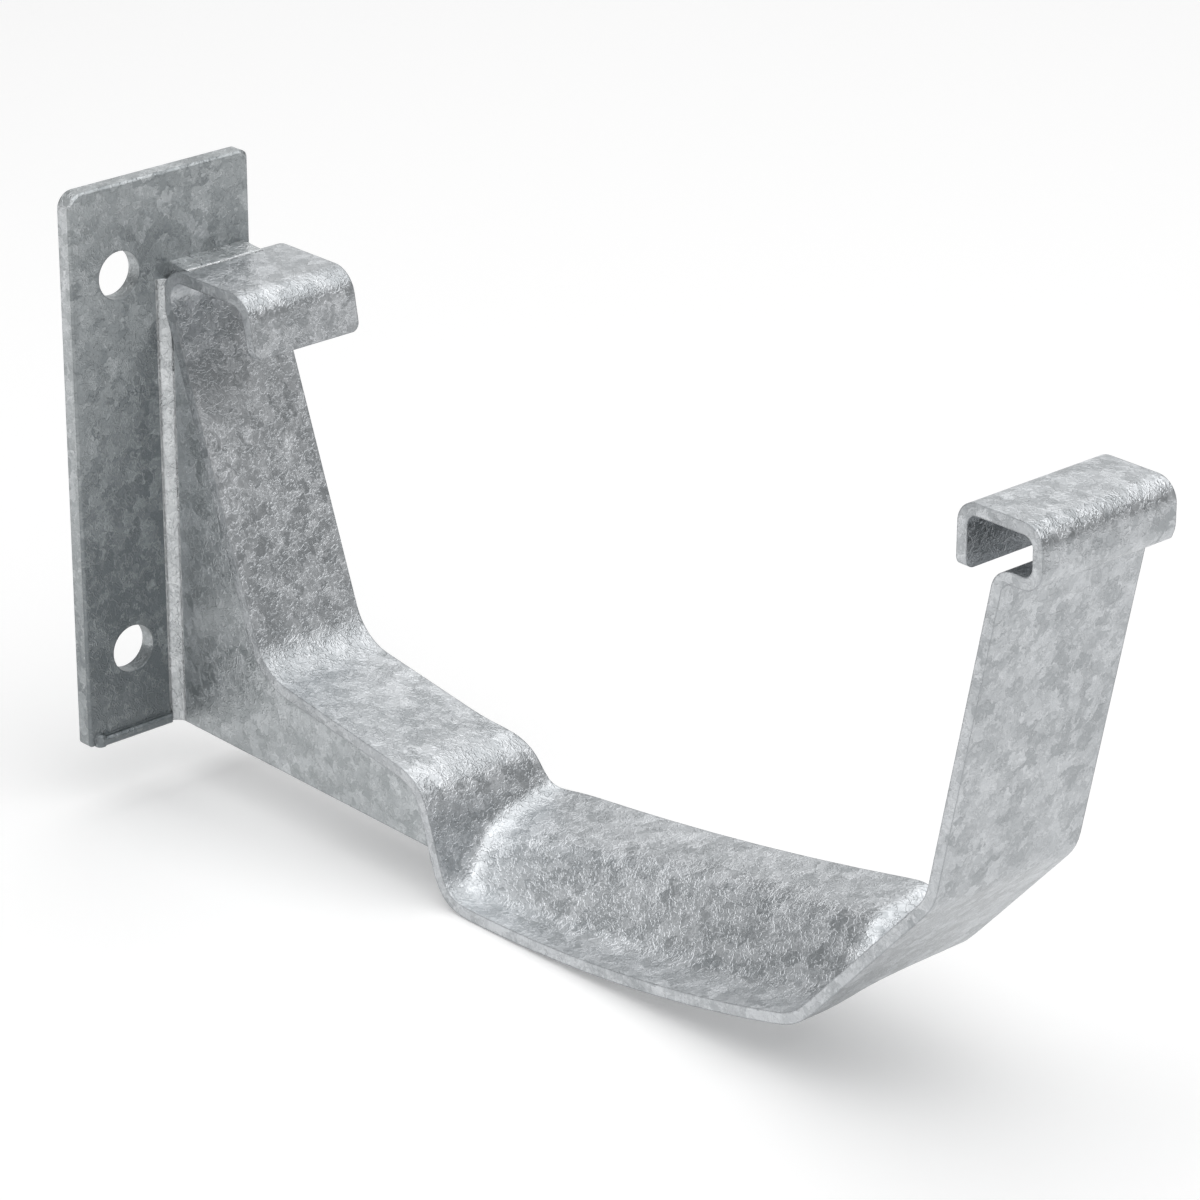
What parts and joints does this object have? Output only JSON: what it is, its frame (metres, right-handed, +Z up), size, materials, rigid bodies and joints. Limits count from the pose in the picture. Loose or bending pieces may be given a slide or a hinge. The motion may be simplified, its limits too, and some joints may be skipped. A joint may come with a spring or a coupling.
{
  "type": "gutter bracket",
  "caption": "Galvanised steel gutter bracket: a wall plate with a welded web carries a bent cradle strap with a hook at each end.",
  "frame": {"origin": "on the wall, at the back face of the wall plate, midway between its two fixing holes", "axes": "+X away from the wall, +Y along the wall towards the side without holes, +Z up"},
  "size_m": [0.2057, 0.05, 0.1107],
  "materials": {
    "galvanised_plate": "hot-dip zinc with a fine mottled spangle",
    "galvanised_strap": "hot-dip zinc with a fine mottled spangle",
    "galvanised_web": "hot-dip zinc with a fine mottled spangle",
    "zinc_coated_weld": "smooth zinc over the weld"
  },
  "bodies": {
    "root": {"wall_plate": "galvanised_plate", "cradle_strap": "galvanised_strap", "support_web": "galvanised_web", "web_weld": "zinc_coated_weld", "strap_weld": "zinc_coated_weld"}
  },
  "joints": []
}
